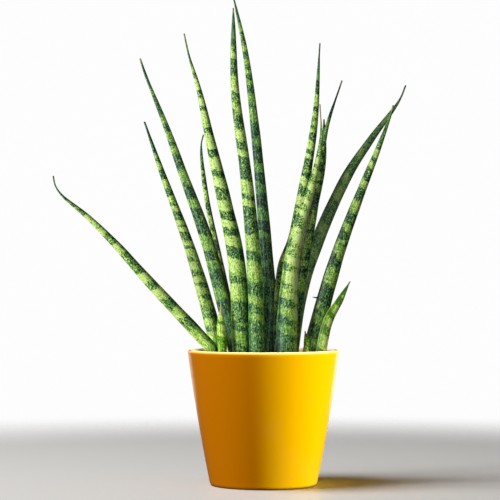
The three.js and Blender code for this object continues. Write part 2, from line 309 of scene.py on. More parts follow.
LEAVES = (
    LeafForm("leaf_01", 5.5, 2.5, 1.1, 35, (
        (-38.5, -9, 88), (-45.5, -10, 120), (-55, -12, 131.5), (-82, -16, 160.5),
        (-105.5, -20, 186), (-128.5, -24, 212), (-153.5, -29, 237), (-176, -32, 256),
        (-181.5, -33, 264), (-183.5, -34, 273)),
        streaks=((175, 30, 0.6), (-70, 25, -1.2)),
        tones=(0.3, 1.2, 0.5), dry=2, rim=0.2, contrast=0.85, swell=0.15,
        pale=((125, 4), (135, 4), (154, 5), (170, 4), (185, 5), (210, 4), (225, 3), (231, 2),
              (236, 3))),
    LeafForm("leaf_02", 7.2, 1.7, 1.05, 45, (
        (-35, 11, 88), (-40.5, 14, 119), (-63, 26, 200), (-93, 38, 282), (-108.5, 44, 326)),
        streaks=((175, 30, 0.8), (-75, 25, -1.2)),
        tones=(0.1, 0.9, -0.5), dry=3, rim=0.2, contrast=0.8, swell=0.6,
        pale=((131, 4), (143, 4), (161, 4), (172, 4), (182, 3), (194, 4), (205, 4), (215, 3),
              (227, 2), (233, 2), (245, 3), (254, 3), (268, 5), (285, 3), (294, 3), (303, 2))),
    LeafForm("leaf_03", 7.3, 2.5, 1.5, -15, (
        (-20, 5, 88), (-24.5, 6, 120), (-31, 7, 146), (-50.5, 10, 218), (-73, 14, 280),
        (-87, 16, 319), (-105.5, 19, 365), (-111, 20, 381)),
        streaks=((-134, 15, 0.9), (-28, 20, 2)),
        tones=(-0.9, -0.7, -0.6), dry=4, brown=0.9, rim=0.4, contrast=0.7, swell=0.7, channel_shade=0.4,
        pale=((131, 4), (168, 5), (196, 3), (210, 3), (219, 4), (251, 4), (273, 6), (298, 4),
              (310, 4), (327, 5), (352, 5))),
    LeafForm("leaf_04", 2.7, 6, 0.95, -20, (
        (-17, 20, 88), (-21.5, 24, 119), (-39.5, 37, 200), (-51.5, 46, 255), (-57, 54, 305),
        (-55, 56, 315)),
        tones=(0.2, 0.3, 0.4), dry=3, swell=0.15),
    LeafForm("leaf_05", 8.2, 2.6, 1.4, 45, (
        (-19.5, -11, 88), (-19.5, -13, 120), (-24, -21, 200), (-34.5, -28, 252),
        (-46.5, -34, 304), (-56.5, -39, 349), (-64.5, -42, 376), (-69, -44, 396)),
        streaks=((180, 30, 0.4), (-70, 28, -2.4)),
        tones=(-0.1, 0.7, 0.8), dry=6, brown=0.9, rim=0.2,
        pale=((133, 5), (145, 4), (173, 10), (194, 8), (217, 5), (232, 3), (247, 5), (268, 5),
              (284, 7), (304, 8), (323, 7), (337, 3), (352, 5), (365, 3))),
    LeafForm("leaf_06", 7.4, 1.4, 0.6, 45, (
        (-5, -19, 88), (-5.5, -21, 120), (-7.5, -23, 182), (-10.5, -24.5, 225), (-16, -26, 279),
        (-25, -28, 349), (-26.5, -30, 420)),
        tones=(0.0, 0.45, 0.6), dry=5, brown=0.8, rim=0.3, contrast=0.9,
        pale=((149, 5), (164, 4), (190, 8), (213, 7), (249, 3), (263, 6), (293, 3), (312, 8),
              (333, 4), (353, 7), (378, 3), (394, 2), (401, 3))),
    LeafForm("leaf_07", 7.3, 1.5, 0.77, -10, (
        (3, 5, 88), (3.5, 6, 119), (6, 8, 164), (3.5, 10, 200), (-7.5, 17, 319),
        (-16.5, 21, 388), (-28, 24, 441)),
        streaks=((-30, 18, 1.5),),
        tones=(-1.0, -1.5, 0.3), dry=3, rim=0.2, contrast=0.65, channel_shade=0.6,
        pale=((140, 4), (161, 7), (180, 4), (195, 4), (220, 5), (239, 5), (264, 5), (283, 4),
              (306, 5), (329, 7), (344, 5), (359, 3), (368, 2), (377, 3), (389, 3), (409, 5),
              (420, 3))),
    LeafForm("leaf_08", 7.9, 1.5, 0.9, 45, (
        (17, -2, 88), (16, -3, 120), (18.5, -5, 191), (27, -5, 217), (35.5, -5, 262),
        (45.5, -6, 324), (50, -6, 392)),
        tones=(-0.2, 1.2, -0.2), dry=4, brown=0.2, swell=0.1,
        pale=((138, 4), (155, 4), (167, 5), (200, 4), (220, 7), (251, 5), (269, 4), (291, 2),
              (301, 4), (324, 7), (341, 6))),
    LeafForm("leaf_09", 11, 1.3, 1.1, 40, (
        (20.5, -22, 88), (20, -24, 121), (25, -28, 199), (32.5, -31, 232), (41.5, -34, 262),
        (50, -37, 304), (49, -40, 335)),
        streaks=((172, 22, -1.9), (-80, 25, 1.8)),
        tones=(-1.2, 2.1, 1.6), dry=14, brown=1, contrast=0.85, swell=0,
        pale=((139, 4), (154, 5), (168, 4), (186, 7), (199, 4), (220, 6), (240, 2), (250, 3),
              (263, 3), (276, 3), (285, 3), (310, 3))),
    LeafForm("leaf_10", 4.7, 1.4, 0.5, 200, (
        (11.5, 17, 88), (15.5, 19, 119), (24, 24, 164), (34.5, 28, 209), (47.5, 33, 254),
        (54.5, 36, 291), (55, 40, 328)),
        tones=(-0.3, -0.3, -0.4), dry=3),
    LeafForm("leaf_11", 6.7, 2.1, 1.15, 200, (
        (25, 11, 88), (25, 11, 119), (29.5, 11, 164), (49, 13, 271), (56, 15, 316),
        (70.5, 16, 361)),
        tones=(-0.2, -0.5, -1.2), dry=5, brown=0.4, swell=0.2),
    LeafForm("leaf_12", 7.2, 3.1, 1.2, 190, (
        (23, 25, 88), (25, 27, 119), (36, 35, 182), (74, 49, 273), (98, 56, 310), (125, 62, 347),
        (131, 64, 361)),
        streaks=((24, 16, -2),),
        tones=(0.9, 1.0, 0.9), dry=3, rim=0.3, contrast=0.5, bloom=0.3, swell=0.35,
        pale=((134, 4), (173, 5), (187, 4), (206, 4), (228, 5), (260, 6), (275, 4), (297, 4),
              (330, 4), (350, 5))),
    LeafForm("leaf_13", 8.5, 1.9, 1.15, 185, (
        (37.5, -6, 88), (42, -8, 120), (63.5, -16, 200), (86, -22, 261), (100, -26, 296),
        (112, -29, 329), (113.5, -30, 335)),
        streaks=((58, 10, -0.6),),
        tones=(-0.1, -0.4, 0.9), dry=4, brown=1, rim=0.2, contrast=0.85, swell=0.65,
        pale=((128, 4), (147, 4), (159, 5), (184, 7), (210, 6), (228, 4), (247, 5), (266, 4),
              (283, 3), (293, 4), (325, 3))),
    LeafForm("young_leaf_left", 4, 11, 2.6, 60, (
        (-34.3, -22, 88), (-35.8, -24, 118), (-37.2, -26, 140), (-37.3, -27, 161)),
        tones=(0.8, 0.4, 0.6), dry=9, contrast=0.9, swell=0, age=Age.YOUNG,
        pale=((137, 6), (150, 3))),
    LeafForm("young_leaf_right", 4.8, 5.3, 1.15, 160, (
        (49.5, -18.5, 88), (50.5, -19.5, 118), (57, -21.5, 147), (67, -23, 164.5), (76, -25, 181)),
        streaks=((152, 45, 2.3), (75, 35, -1.8)),
        tones=(-0.1, -0.5, -1.0), dry=1.5, rim=3, contrast=0.9, swell=0, age=Age.YOUNG,
        pale=((128, 6), (146, 4), (157, 4))),
    LeafForm("scale_leaf", 3.6, 5, 1, 45, (
        (39.5, -19, 88), (38.5, -20, 118), (37.5, -19.5, 130), (36.5, -19, 137)),
        tones=(0.4, 0.4, 0.2), dry=4, brown=1, swell=0, age=Age.YOUNG),
)


@dataclass(frozen=True)
class LeafSkin:
    """The waxy skin of a snake plant's leaf: grown tissue under a thin, satin cuticle.

    The eye sees broken crosswise bands of light and dark green, with the same two colours again as
    speckles of about a millimetre, faint lengthwise ribs, a channel whose floor is darkened with
    painted shade, a pale, dry margin on each side of it, and a dried, fibrous tip.

    Attributes:
        name: the material's name.
        slot: a second name for the skin, not used.
        shades: colours by lightness, each with its place from 0 to 1: the darkest, the lightest, and
            then those between them in order.
        band_mm: spacing of the bands along the leaf.
        fray_mm: size of the noise that frays the bands' edges.
        push_mm: how far that noise moves them, from one side to the other.
        mottle_mm: size of the mottles.
        speck_mm: size of the specks.
        rib_mm: spacing of the ribs.
        relief_mm: height of the ribs.
        band_edges: values of the band noise at which a band is darkest and lightest.
        band_depth: how much darker or lighter a band is than the leaf's own shade.
        own_weight: how much the leaf's own pale bands count beside chance.
        fray_weight: how much the noise that frays the bands counts.
        mottle_weight: how much the mottles show.
        speck_weights: how much the specks show in a dark band and in a light one.
        speck_shares: what is left of that where the bands are soft and where they are crisp.
        rib_weights: how much the ribs show where the bands are soft and where they are crisp.
        most_crisp: how crisp the bands are where they are crispest.
        channel: colour of the painted shade on the channel's floor.
        margin: colour of the margins.
        dried: colour of a tip that has dried green.
        scorched: colour of a tip that has dried to straw.
        waxed: colour of the bloom.
        opacities: how fully the channel's painted shade and the colours of margins and tip cover the bands.
        roughness: roughness of the cuticle.
    """

    name: str
    slot: str
    shades: tuple[tuple[float, str], ...]
    band_mm: float = 11.0
    fray_mm: float = 5.0
    push_mm: float = 7.0
    mottle_mm: float = 2.6
    speck_mm: float = 1.0
    rib_mm: float = 0.9
    relief_mm: float = 0.15
    band_edges: tuple[float, float] = (0.39, 0.59)
    band_depth: float = 0.27
    own_weight: float = 0.36
    fray_weight: float = 0.6
    mottle_weight: float = 0.5
    speck_weights: tuple[float, float] = (2.0, 1.2)
    speck_shares: tuple[float, float] = (0.5, 1.0)
    rib_weights: tuple[float, float] = (1.2, 0.55)
    most_crisp: float = 1.1
    # painted shade: the dark colour laid on the channel's floor, where shade falls in the groove
    channel: str = "#0F1E14"
    margin: str = "#8E7B55"
    dried: str = "#27482A"
    scorched: str = "#A08B66"
    waxed: str = "#5B8A72"
    opacities: Triple = (0.9, 0.8, 0.95)
    roughness: float = 0.42

    def material(self) -> bpy.types.Material:
        """Builds the skin over the blade's own straightened coordinates.

        Returns:
            The material.
        """
        material, node = new_material(self.name)
        names = ("straight", "marks", "mood", "pale", "bloom")
        blade, marks, mood, pale, bloom = (node("Attribute", attribute_name=name).outputs for name in names)
        # channel is the mask of the painted shade on the channel's floor
        channel, margin, dry = node("SeparateXYZ", {0: marks["Vector"]}).outputs
        tone, crisp, brown = node("SeparateXYZ", {0: mood["Vector"]}).outputs
        band = self.band(node, blade["Vector"], pale["Fac"])
        shade, ribs = self.shade(node, blade["Vector"], band, tone, crisp)

        ramp = node("ValToRGB", {0: shade})
        stops = ramp.color_ramp.elements
        for index, (place, hex_colour) in enumerate(self.shades):
            stop = stops[index] if index < 2 else stops.new(place)
            stop.position = place
            stop.color = linear(hex_colour)
        tip = node("Mix", {0: brown, 6: linear(self.dried), 7: linear(self.scorched)}, data_type="RGBA")
        colour = node("Mix", {0: bloom["Fac"], 6: ramp, 7: linear(self.waxed)}, data_type="RGBA")
        layers = zip((channel, margin, dry), (linear(self.channel), linear(self.margin), tip.outputs[2]),
                     self.opacities)
        for mask, layer, opacity in layers:
            amount = node("Math", {0: mask, 1: opacity}, operation="MULTIPLY")
            colour = node("Mix", {0: amount, 6: colour.outputs[2], 7: layer}, data_type="RGBA")
        relief = node("Bump", {"Height": ribs, "Strength": 0.5, "Distance": self.relief_mm * MM})
        cover(node, {"Base Color": colour.outputs[2], "Normal": relief, "Roughness": self.roughness,
                     "IOR": 1.45, "Specular IOR Level": 0.2})
        return material

    def band(self, node: NodeMaker, blade: Socket, pale: Socket) -> Node:
        """Makes the broken crosswise bands.

        A noise that is drawn out crosswise is moved about by a finer one. The finer noise and the
        leaf's own pale bands are added to it, and the sum is brought smoothly from the band edges
        to the band depths.

        Args:
            node: add_node for the material's tree.
            blade: the straightened coordinates.
            pale: the leaf's own pale bands.

        Returns:
            The bands, negative where they are dark.
        """
        fray = node("TexNoise", {"Vector": blade, "Scale": 1 / (self.fray_mm * MM), "Detail": 3.0})
        centred = node("VectorMath", {0: fray.outputs["Color"], 1: (0.5,) * 3}, operation="SUBTRACT")
        frayed = node("VectorMath", {0: centred, 1: (self.push_mm * MM,) * 3, 2: blade},
                      operation="MULTIPLY_ADD")
        crosswise = node("VectorMath", {0: frayed, 1: (0.5, 0.5, 1.0)}, operation="MULTIPLY")
        chance = node("TexNoise", {
            "Vector": crosswise, "Scale": 0.85 / (self.band_mm * MM), "Detail": 1.0})
        bands = self.add_patterns(node, chance, ((pale, self.own_weight), (fray, self.fray_weight)))
        low, high = self.band_edges
        return node("MapRange", {
            "Value": bands, "From Min": low, "From Max": high,
            "To Min": -self.band_depth, "To Max": self.band_depth}, interpolation_type="SMOOTHSTEP")

    def shade(self, node: NodeMaker, blade: Socket, band: Node, tone: Socket,
              crisp: Socket) -> tuple[Node, Node]:
        """Works out how light the skin is.

        The shade is 0.5 + 0.2 * tone + crisp * band, plus each finer pattern's
        weight * (pattern - 0.5). Mottles and specks are drawn out lengthwise, and ribs run the
        whole length. Specks show most in the dark bands. Where the bands are less crisp, specks
        are weaker and ribs bolder.

        Args:
            node: add_node for the material's tree.
            blade: the straightened coordinates.
            band: the bands.
            tone: the leaf's own tone there, with its painted light and shade added to it.
            crisp: how crisp the bands are there.

        Returns:
            The shade, and the pattern of the ribs.
        """
        patterns = []
        for size, stretch, detail in ((self.mottle_mm, 0.6, 1.0), (self.speck_mm, 0.6, 0.0),
                                      (self.rib_mm, 0.03, 2.0)):
            drawn_out = node("VectorMath", {0: blade, 1: (1.0, 1.0, stretch)}, operation="MULTIPLY")
            patterns.append(node("TexNoise", {
                "Vector": drawn_out, "Scale": 1 / (size * MM), "Detail": detail}))
        mottle, specks, ribs = patterns
        in_dark, in_light = self.speck_weights
        boldness = node("MapRange", {
            "Value": band, "From Min": -self.band_depth, "From Max": self.band_depth,
            "To Min": in_dark, "To Max": in_light})
        speckled, ribbed = (
            node("MapRange", {"Value": crisp, "From Max": self.most_crisp, "To Min": soft, "To Max": sharp})
            for soft, sharp in (self.speck_shares, self.rib_weights))
        boldness = node("Math", {0: boldness, 1: speckled}, operation="MULTIPLY")
        shade = node("Math", {0: tone, 1: 0.2, 2: 0.5}, operation="MULTIPLY_ADD")
        shade = self.add_patterns(node, shade, (
            (mottle, self.mottle_weight), (specks, boldness), (ribs, ribbed)))
        return node("Math", {0: band, 1: crisp, 2: shade}, operation="MULTIPLY_ADD"), ribs

    @staticmethod
    def add_patterns(node: NodeMaker, total: Node,
                     patterns: tuple[tuple[Node | Socket, Node | float], ...]) -> Node:
        """Adds patterns to a value, each as weight * (pattern - 0.5).

        Args:
            node: add_node for the material's tree.
            total: the node that gives the value.
            patterns: each pattern with its weight.

        Returns:
            The node that gives the sum.
        """
        for pattern, weight in patterns:
            centred = node("Math", {0: pattern, 1: 0.5}, operation="SUBTRACT")
            total = node("Math", {0: centred, 1: weight, 2: total}, operation="MULTIPLY_ADD")
        return total


SKINS = {
    Age.MATURE: LeafSkin("waxy_mature_leaf", "mature_leaf", (
        (0.0, "#0E2A18"), (1.0, "#C2DA84"), (0.22, "#244D36"), (0.42, "#427243"), (0.6, "#6A9634"),
        (0.78, "#90B645"))),
    Age.YOUNG: LeafSkin("waxy_young_leaf", "young_leaf", (
        (0.0, "#2F5A0C"), (1.0, "#CBDD84"), (0.35, "#4E860E"), (0.6, "#77A822"), (0.8, "#A4C850")),
        # the young skin's channel colour is the painted shade on its channel's floor
        band_mm=8.0, channel="#3A6414", margin="#B9C586", dried="#B0AC72", scorched="#7A4632",
        roughness=0.34),
}


@dataclass
class Leaf:
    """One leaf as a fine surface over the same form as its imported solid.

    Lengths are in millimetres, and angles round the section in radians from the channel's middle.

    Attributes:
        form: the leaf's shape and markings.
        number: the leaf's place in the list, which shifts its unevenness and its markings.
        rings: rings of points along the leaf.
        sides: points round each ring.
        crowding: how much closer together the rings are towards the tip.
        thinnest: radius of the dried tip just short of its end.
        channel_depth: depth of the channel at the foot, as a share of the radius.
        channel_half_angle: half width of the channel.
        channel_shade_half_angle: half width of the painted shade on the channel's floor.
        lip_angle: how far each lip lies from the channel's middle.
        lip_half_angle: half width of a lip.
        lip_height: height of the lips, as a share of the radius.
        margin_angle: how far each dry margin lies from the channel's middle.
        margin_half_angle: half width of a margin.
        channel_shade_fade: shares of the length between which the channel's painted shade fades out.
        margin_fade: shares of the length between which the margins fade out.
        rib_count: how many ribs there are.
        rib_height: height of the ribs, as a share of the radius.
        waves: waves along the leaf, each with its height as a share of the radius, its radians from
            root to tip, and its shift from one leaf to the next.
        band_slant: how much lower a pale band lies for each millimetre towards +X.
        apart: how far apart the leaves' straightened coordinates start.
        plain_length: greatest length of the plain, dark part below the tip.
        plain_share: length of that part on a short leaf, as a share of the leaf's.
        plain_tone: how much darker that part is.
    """

    form: LeafForm
    number: int
    rings: int = 220
    sides: int = 60
    crowding: float = 1.2
    thinnest: float = 0.6
    channel_depth: float = 0.42
    channel_half_angle: float = 0.5
    channel_shade_half_angle: float = 0.62
    lip_angle: float = 0.78
    lip_half_angle: float = 0.13
    lip_height: float = 0.035
    margin_angle: float = 0.8
    margin_half_angle: float = 0.09
    channel_shade_fade: tuple[float, float] = (0.55, 1.0)
    margin_fade: tuple[float, float] = (0.5, 0.95)
    rib_count: int = 22
    rib_height: float = 0.007
    waves: tuple[Triple, ...] = ((0.012, 31.0, 2.3), (0.01, 53.0, 1.0))
    band_slant: float = 0.4
    apart: float = 900.0
    plain_length: float = 40.0
    plain_share: float = 0.16
    plain_tone: float = 1.3

    def spine_curve(self, per_span: int = 60) -> Array:
        """Draws a centripetal Catmull-Rom curve through the spine's points.

        Each span is the cubic with the span's ends and tangents, where a tangent is the
        difference of the two neighbouring slopes weighted by the square roots of the spans.

        Args:
            per_span: points to each span.

        Returns:
            Positions, one row each.
        """
        given = np.array(self.form.spine, float)
        points = np.vstack([2 * given[0] - given[1], given, 2 * given[-1] - given[-2]])
        gaps = np.sqrt(np.linalg.norm(np.diff(points, axis=0), axis=1))[:, None]
        slopes = np.diff(points, axis=0) / gaps
        wide = (points[2:] - points[:-2]) / (gaps[:-1] + gaps[1:])
        tangents = slopes[:-1] - wide + slopes[1:]
        start, end = points[1:-2, None], points[2:-1, None]
        leave, arrive = (tangents[:-1] * gaps[1:-1])[:, None], (tangents[1:] * gaps[1:-1])[:, None]
        t = np.linspace(0, 1, per_span, endpoint=False)[None, :, None]
        spans = (start * (2 * t**3 - 3 * t**2 + 1) + leave * (t**3 - 2 * t**2 + t)
                 + end * (3 * t**2 - 2 * t**3) + arrive * (t**3 - t**2))
        return np.vstack([spans.reshape(-1, 3), given[-1]])

    def along(self, shares: Array) -> tuple[Array, Array, float]:
        """Finds places and directions at shares of the leaf's length.

        Args:
            shares: values from 0 at the root to 1 at the tip.

        Returns:
            Positions, unit tangents, and the leaf's whole length.
        """
        curve = self.spine_curve()
        travelled = np.concatenate([[0], np.cumsum(np.linalg.norm(np.diff(curve, axis=0), axis=1))])
        length = travelled[-1]
        middle = np.stack([np.interp(shares * length, travelled, curve[:, k]) for k in range(3)], 1)
        tangent = np.gradient(middle, axis=0)
        tangent /= np.linalg.norm(tangent, axis=1)[:, None]
        return middle, tangent, length

    def thickness(self, shares: Array) -> Array:
        """Gives the round radius at shares of the length.

        It is radius * (1 - share^fullness)^sharpness, or the thinnest radius where that is more,
        plus the swell, which comes in over the upper half and mostly goes again at the tip.

        Args:
            shares: shares of the length.

        Returns:
            Radii.
        """
        form = self.form
        slim = np.maximum(form.radius * (1 - shares**form.fullness) ** form.sharpness, self.thinnest)
        swell = smooth_step(0.5, 0.9, shares) * (1 - 0.6 * smooth_step(0.93, 1.0, shares))
        return slim + form.swell * swell

    def section(self, shares: Array, turns: Array) -> Array:
        """Works out the leaf's radius over the grid of length and turn.

        The radius is the leaf's thickness, less a bell-shaped channel about the turn 0 that fades
        towards the tip, plus a low lip on each side of it, shallow ribs that sway a little, and
        the waves that make the leaf uneven.

        Args:
            shares: shares of the length, as a column.
            turns: angles round the section from -pi to pi, as a row.

        Returns:
            Radii.
        """
        channel = self.channel_depth * (1 - shares) * bell(turns, self.channel_half_angle)
        lips = self.lip_height * bell(np.abs(turns) - self.lip_angle, self.lip_half_angle)
        ribs = self.rib_height * np.cos(self.rib_count * turns + 3 * np.sin(9 * shares + self.number))
        waves = sum(height * np.sin(radians * shares + shift * self.number)
                    for height, radians, shift in self.waves)
        return self.thickness(shares) * (1 - channel + lips + ribs + waves)

    def build(self) -> bpy.types.Object:
        """Makes the leaf's surface with the attributes that its skin reads.

        A point is the spine's place plus the radius times (cos turn * ahead + sin turn * aside),
        where ahead looks into the channel and aside is square to it and to the spine.

        Returns:
            The piece.
        """
        form = self.form
        shares = 1 - (1 - np.arange(self.rings) / self.rings) ** self.crowding
        middle, tangent, length = self.along(np.append(shares, 1.0))
        tip = middle[-1]
        middle, tangent = middle[:-1], tangent[:-1]
        facing = math.radians(form.faces)
        towards = np.array([math.cos(facing), math.sin(facing), 0.0])
        ahead = towards - tangent * (tangent @ towards)[:, None]
        ahead /= np.linalg.norm(ahead, axis=1)[:, None]
        aside = np.cross(tangent, ahead)
        turns = wrapped(around(self.sides))
        reach = self.section(shares[:, None], turns[None, :])
        rings = (middle[:, None] + reach[..., None] * (np.cos(turns)[None, :, None] * ahead[:, None]
                                                      + np.sin(turns)[None, :, None] * aside[:, None]))
        piece = closed_rings(f"{form.node}_skin", rings, middle[0], tip)
        self.straighten(piece, reach, turns, shares, length)
        self.mark(piece, turns, shares, length)
        slanted = middle[:, 2:] + self.band_slant * (rings[..., 0] - middle[:, :1])
        pale = self.pale_bands(slanted).ravel()
        add_attribute(piece, "pale", np.append(pale, [pale[0], pale[-1]]))
        add_attribute(piece, "bloom", np.full(len(pale) + 2, form.bloom))
        return piece

    def pale_bands(self, height: Array) -> Array:
        """Places the leaf's own pale bands, as soft boxes exp(-((height - middle) / half)^4).

        Where the leaf has none, and past the highest, the value is halfway, which leaves the bands
        to chance.

        Args:
            height: height above the ground over the grid.

        Returns:
            1 in a pale band and 0 between two.
        """
        if not self.form.pale:
            return np.full(height.shape, 0.5)
        centre, half = np.array(self.form.pale, float).T
        bands = np.exp(-((height[..., None] - centre) / half) ** 4).max(-1)
        return np.maximum(bands, 0.5 * smooth_step(centre.max() + 6, centre.max() + 14, height))

    def straighten(self, piece: bpy.types.Object, reach: Array, turns: Array, shares: Array,
                   length: float) -> None:
        """Stores each vertex's place on the leaf as if it were straight and upright.

        Towards the tip the height runs faster, by 1 / (0.45 + 0.55 * slimness), so that the bands
        lie closer there.

        Args:
            piece: the leaf.
            reach: radii over the grid.
            turns: angles round the section.
            shares: each ring's share of the length.
            length: the leaf's length.
        """
        slimness = self.thickness(shares) / self.form.radius
        height = np.cumsum(np.diff(shares * length, prepend=0.0) / (0.45 + 0.55 * slimness))
        grid = np.stack([reach * np.sin(turns), reach * np.cos(turns), height[:, None] + 0 * reach], -1)
        places = np.vstack([grid.reshape(-1, 3), [0, 0, 0], [0, 0, height[-1]]])
        places[:, 2] += self.apart * self.number
        add_attribute(piece, "straight", places * MM)

    def mark(self, piece: bpy.types.Object, turns: Array, shares: Array, length: float) -> None:
        """Stores what the skin shows where.

        Marks are the masks of the painted shade on the channel's floor, the margins and the dried
        tip, which comes in from 1.3 to 0.7 of its length short of the end. Mood is the tone, with
        the painted light and shade of the flanks added to it, how crisp the bands are, and how
        brown the tip is. The bands are about half as crisp at the foot as above mid-length, and
        fade out on the plain part below the tip.

        Args:
            piece: the leaf.
            turns: angles round the section.
            shares: each ring's share of the length.
            length: the leaf's length.
        """
        form = self.form
        left = (1 - shares) * length
        # painted shade: the channel's floor is darkened over the lower part of the leaf, where shade falls
        # in the deep groove
        floor = (1 - smooth_step(*self.channel_shade_fade, shares))[:, None] * bell(turns, self.channel_shade_half_angle)
        rim = bell(np.abs(turns) - self.margin_angle, self.margin_half_angle)
        rim = np.minimum(form.rim * rim * (1 - smooth_step(*self.margin_fade, shares))[:, None], 1)
        dry = smooth_step(-1.3 * form.dry, -0.7 * form.dry, -left)
        marks = np.stack([form.channel_shade * floor, rim, dry[:, None] + 0 * rim], -1)
        add_attribute(piece, "marks", np.vstack([marks.reshape(-1, 3), [0, 0, 0], [0, 0, 1]]))

        plain = min(self.plain_length, self.plain_share * length)
        plain_tip = smooth_step(-plain, -0.45 * plain, -left)
        tone = np.interp(shares, (0.1, 0.5, 0.9), form.tones) - self.plain_tone * plain_tip
        crisp = form.contrast * (0.5 + 0.6 * smooth_step(0.05, 0.5, shares)) * (1 - plain_tip)
        mood = np.repeat(np.stack([tone, crisp, np.full_like(shares, form.brown)], 1), self.sides, 0)
        # painted light and shade: each entry lightens or darkens a stripe of the flank as light falls on it
        for direction, half, depth in form.streaks:
            painted_shade_streak = depth * bell(wrapped(turns - math.radians(direction)), math.radians(half))
            mood[:, 0] += np.tile(painted_shade_streak, self.rings)
        add_attribute(piece, "mood", np.vstack([mood, mood[0], mood[-1]]))


@dataclass(frozen=True)
class DryTissue:
    """Leaf tissue that has died and dried: brown, matt and fibrous.

    The eye sees a near-black brown with fibres of a fraction of a millimetre.

    Attributes:
        dark: colour between the fibres.
        light: colour of the fibres.
        fibre_mm: width of the fibres.
        roughness: roughness of the tissue.
    """

    dark: str = "#17140F"
    light: str = "#3D3022"
    fibre_mm: float = 0.4
    roughness: float = 0.8

    def material(self) -> bpy.types.Material:
        """Builds the tissue from one noise.

        Returns:
            The material.
        """
        material, node = new_material("dry_leaf_nib")
        place = node("TexCoord").outputs["Object"]
        fibres = node("TexNoise", {"Vector": place, "Scale": 1 / (self.fibre_mm * MM)})
        colour = node("Mix", {0: fibres, 6: linear(self.dark), 7: linear(self.light)}, data_type="RGBA")
        cover(node, {"Base Color": colour.outputs[2], "Roughness": self.roughness})
        return material


@dataclass
class Spur:
    """A dry brown nib that stands out from the edge of a leaf. Lengths are in millimetres.

    Attributes:
        root: the middle of its foot, inside the leaf.
        tip: its point.
        radius: radius at the foot.
        rings: rings of points along it.
        sides: points round each ring.
    """

    root: Triple = (48.0, -12.6, 166.2)
    tip: Triple = (42.6, -13.6, 166.9)
    radius: float = 0.9
    rings: int = 8
    sides: int = 10

    def build(self) -> bpy.types.Object:
        """Makes the nib as a cone, radius * (1 - share)^0.7, that stands out sideways.

        Returns:
            The piece.
        """
        root, tip = np.array(self.root), np.array(self.tip)
        ahead = (tip - root) / np.linalg.norm(tip - root)
        aside = np.cross([0.0, 0.0, 1.0], ahead)
        aside /= np.linalg.norm(aside)
        share = (np.arange(self.rings) / self.rings)[:, None, None]
        turn = around(self.sides)[None, :, None]
        reach = self.radius * (1 - share) ** 0.7
        outwards = np.cos(turn) * aside + np.sin(turn) * np.cross(ahead, aside)
        return closed_rings("leaf_13_spur", root + share * (tip - root) + reach * outwards, root, tip)


# ---- Pot -------------------------------------------------------------------------------------


@dataclass(frozen=True)
class SatinGlaze:
    """Yellow stoneware glaze, dipped and fired, over a pale buff body that is left bare underneath.

    The eye sees a smooth, saturated skin with a soft sheen, a little thinner and paler over the
    lip, where a glaze runs off the edge and a painted highlight lies along it, and faint cloudiness
    of a few centimetres.

    Attributes:
        glaze: the glaze's colour.
        thin: its colour where it runs thin, pale enough to serve as a painted highlight on the lip.
        inner: the much paler colour given inside the pot, from the lip's middle inwards.
        bare: the bare body's colour.
        sheen: tint of the highlights.
        lip_mm: how far below the top the glaze begins to thin and the painted highlight begins.
        bare_mm: height above the ground below which the body is bare.
        edge_mm: height over which the glaze comes in above that.
        cloud_mm: size of the clouds.
        cloudiness: how far a cloud thins or thickens the glaze.
        ripple_mm: size of the ripples.
        relief_mm: height of the ripples.
        roughness: roughness of the glaze.
        bare_roughness: roughness of the bare body.
    """

    glaze: str = "#F5AF00"
    # thin is partly the thin glaze's colour and partly a painted highlight along the lip
    thin: str = "#FFE49A"
    inner: str = "#FFEFD2"
    bare: str = "#C9A27C"
    sheen: str = "#FFD27A"
    lip_mm: float = 2.5
    bare_mm: float = 0.4
    edge_mm: float = 0.3
    cloud_mm: float = 35.0
    cloudiness: float = 0.05
    ripple_mm: float = 9.0
    relief_mm: float = 0.2
    roughness: float = 0.28
    bare_roughness: float = 0.85

    def material(self, pot_height: float) -> bpy.types.Material:
        """Builds the glaze over the pot's height.

        Args:
            pot_height: the pot's height in millimetres.

        Returns:
            The material.
        """
        material, node = new_material("satin_yellow_glaze")
        place = node("TexCoord").outputs["Object"]
        height = node("SeparateXYZ", {0: place}).outputs["Z"]
        cloud = node("TexNoise", {"Vector": place, "Scale": 1 / (self.cloud_mm * MM), "Detail": 3.0})
        clouded = node("MapRange", {"Value": cloud, "To Min": -self.cloudiness, "To Max": self.cloudiness})
        # painted highlight: the lip pales towards the top, partly as thin glaze and partly as the light that
        # catches it
        lip = node("MapRange", {
            "Value": height, "From Min": (pot_height - self.lip_mm) * MM, "From Max": pot_height * MM},
            interpolation_type="SMOOTHSTEP")
        thinness_and_highlight = node("Math", {0: lip, 1: clouded}, operation="ADD", use_clamp=True)
        inside = node("Attribute", attribute_name="inside").outputs["Fac"]
        covered = node("MapRange", {
            "Value": height, "From Min": self.bare_mm * MM, "From Max": (self.bare_mm + self.edge_mm) * MM})
        colour = node("Mix", {0: thinness_and_highlight, 6: linear(self.glaze), 7: linear(self.thin)}, data_type="RGBA")
        colour = node("Mix", {0: inside, 6: colour.outputs[2], 7: linear(self.inner)}, data_type="RGBA")
        colour = node("Mix", {0: covered, 6: linear(self.bare), 7: colour.outputs[2]}, data_type="RGBA")
        rough = node("MapRange", {"Value": covered, "To Min": self.bare_roughness, "To Max": self.roughness})
        ripple = node("TexNoise", {"Vector": place, "Scale": 1 / (self.ripple_mm * MM), "Detail": 2.0})
        relief = node("Bump", {"Height": ripple, "Strength": 0.12, "Distance": self.relief_mm * MM})
        cover(node, {"Base Color": colour.outputs[2], "Roughness": rough, "Normal": relief, "IOR": 1.5,
                     "Specular IOR Level": 0.15, "Specular Tint": linear(self.sheen)})
        return material


